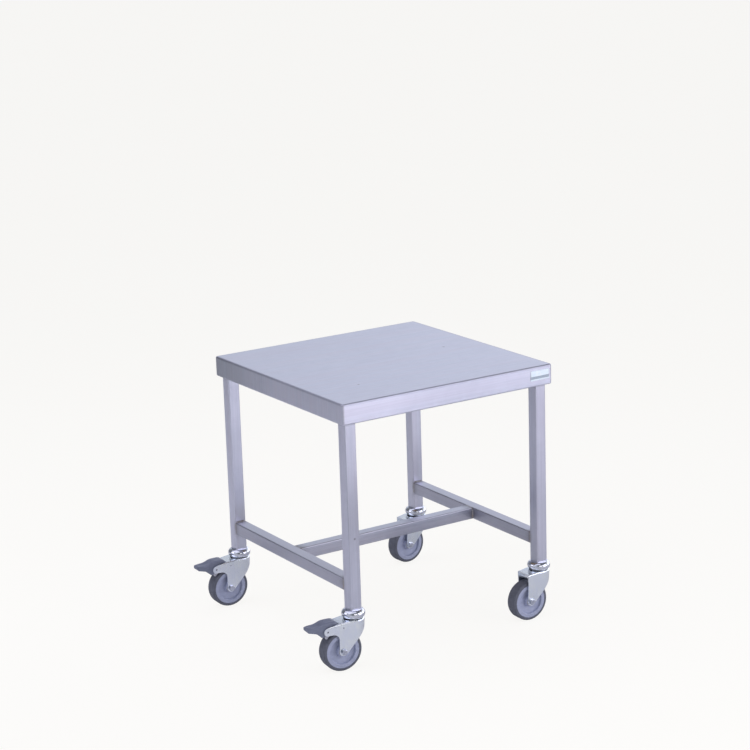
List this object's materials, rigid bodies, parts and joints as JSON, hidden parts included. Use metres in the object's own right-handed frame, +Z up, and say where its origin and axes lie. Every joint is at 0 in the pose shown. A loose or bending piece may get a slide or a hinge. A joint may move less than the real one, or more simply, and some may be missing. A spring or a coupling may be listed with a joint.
{
  "type": "work table",
  "caption": "Low square stainless steel work table on swivel casters with foot brakes on one side, with folded-edge top, square-tube legs and an H-shaped lower frame.",
  "frame": {"origin": "on the floor, under the centre of the whole object's box (the brake pedals reach past the worktop on the left)", "axes": "+Z up, +X to the right seen from the front, -Y towards the front edge with the blank plate"},
  "size_m": [0.6995, 0.6069, 0.65],
  "materials": {
    "stainless_sheet": "satin, ground in one direction",
    "stainless_tube": "satin, ground lengthways",
    "board": "raw chipboard",
    "plate": "matt, blank",
    "chrome_cap": "bright",
    "zinc_plate": "bright zinc plated",
    "steel": "zinc plated",
    "seal_rubber": "matt",
    "hub_plastic": "moulded, satin",
    "bush_plastic": "moulded",
    "tread": "smooth non-marking tread",
    "pedal_plastic": "fine texture"
  },
  "bodies": {
    "table": {"worktop_pan": "stainless_sheet", "core_board": "board", "name_plate": "plate", "lower_cross_rail": "stainless_tube", "lower_rail_left": "stainless_tube", "lower_rail_right": "stainless_tube", "top_rail_front": "stainless_tube", "top_rail_back": "stainless_tube", "top_rail_left": "stainless_tube", "top_rail_right": "stainless_tube", "leg_nut_plates": "steel", "swivel_spindles": "steel", "swivel_seals": "seal_rubber", "swivel_balls": "steel", "leg_front_left": "stainless_tube", "swivel_cap_front_left": "chrome_cap", "leg_front_right": "stainless_tube", "swivel_cap_front_right": "chrome_cap", "leg_back_left": "stainless_tube", "swivel_cap_back_left": "chrome_cap", "leg_back_right": "stainless_tube", "swivel_cap_back_right": "chrome_cap"},
    "swivel_front_left": {"fork_front_left": "zinc_plate", "axle_bolt_front_left": "zinc_plate", "axle_nut_front_left": "zinc_plate", "axle_sleeve_front_left": "zinc_plate", "pedal_pin_front_left": "steel", "spring_pin_front_left": "steel", "leaf_spring_front_left": "steel"},
    "wheel_front_left": {"wheel_hub_front_left": "hub_plastic", "tyre_front_left": "tread", "wheel_bushes_front_left": "bush_plastic"},
    "brake_front_left": {"brake_pedal_front_left": "pedal_plastic", "brake_shoe_front_left": "steel"},
    "swivel_front_right": {"fork_front_right": "zinc_plate", "axle_bolt_front_right": "zinc_plate", "axle_nut_front_right": "zinc_plate", "axle_sleeve_front_right": "zinc_plate"},
    "wheel_front_right": {"wheel_hub_front_right": "hub_plastic", "tyre_front_right": "tread", "wheel_bushes_front_right": "bush_plastic"},
    "swivel_back_left": {"fork_back_left": "zinc_plate", "axle_bolt_back_left": "zinc_plate", "axle_nut_back_left": "zinc_plate", "axle_sleeve_back_left": "zinc_plate", "pedal_pin_back_left": "steel", "spring_pin_back_left": "steel", "leaf_spring_back_left": "steel"},
    "wheel_back_left": {"wheel_hub_back_left": "hub_plastic", "tyre_back_left": "tread", "wheel_bushes_back_left": "bush_plastic"},
    "brake_back_left": {"brake_pedal_back_left": "pedal_plastic", "brake_shoe_back_left": "steel"},
    "swivel_back_right": {"fork_back_right": "zinc_plate", "axle_bolt_back_right": "zinc_plate", "axle_nut_back_right": "zinc_plate", "axle_sleeve_back_right": "zinc_plate"},
    "wheel_back_right": {"wheel_hub_back_right": "hub_plastic", "tyre_back_right": "tread", "wheel_bushes_back_right": "bush_plastic"}
  },
  "joints": [
    {"name": "swivel_front_left_turn", "type": "hinge", "parent": "table", "child": "swivel_front_left", "pos_m": [-0.224, -0.273, 0.127], "axis": [0, 0, 1], "continuous": true},
    {"name": "wheel_front_left_spin", "type": "hinge", "parent": "swivel_front_left", "child": "wheel_front_left", "pos_m": [-0.26077, -0.26888, 0.05], "axis": [0.1115, 0.9938, 0], "continuous": true},
    {"name": "brake_front_left_press", "type": "hinge", "parent": "swivel_front_left", "child": "brake_front_left", "pos_m": [-0.29953, -0.26453, 0.1063], "axis": [-0.1115, -0.9938, 0], "range_deg": [0, 14]},
    {"name": "swivel_front_right_turn", "type": "hinge", "parent": "table", "child": "swivel_front_right", "pos_m": [0.322, -0.273, 0.127], "axis": [0, 0, 1], "continuous": true},
    {"name": "wheel_front_right_spin", "type": "hinge", "parent": "swivel_front_right", "child": "wheel_front_right", "pos_m": [0.28501, -0.27235, 0.05], "axis": [0.0175, 0.9998, 0], "continuous": true},
    {"name": "swivel_back_left_turn", "type": "hinge", "parent": "table", "child": "swivel_back_left", "pos_m": [-0.224, 0.273, 0.127], "axis": [0, 0, 1], "continuous": true},
    {"name": "wheel_back_left_spin", "type": "hinge", "parent": "swivel_back_left", "child": "wheel_back_left", "pos_m": [-0.26097, 0.27455, 0.05], "axis": [0.0419, 0.9991, 0], "continuous": true},
    {"name": "brake_back_left_press", "type": "hinge", "parent": "swivel_back_left", "child": "brake_back_left", "pos_m": [-0.29993, 0.27618, 0.1063], "axis": [-0.0419, -0.9991, 0], "range_deg": [0, 14]},
    {"name": "swivel_back_right_turn", "type": "hinge", "parent": "table", "child": "swivel_back_right", "pos_m": [0.322, 0.273, 0.127], "axis": [0, 0, 1], "continuous": true},
    {"name": "wheel_back_right_spin", "type": "hinge", "parent": "swivel_back_right", "child": "wheel_back_right", "pos_m": [0.28511, 0.27016, 0.05], "axis": [-0.0767, 0.9971, 0], "continuous": true}
  ]
}
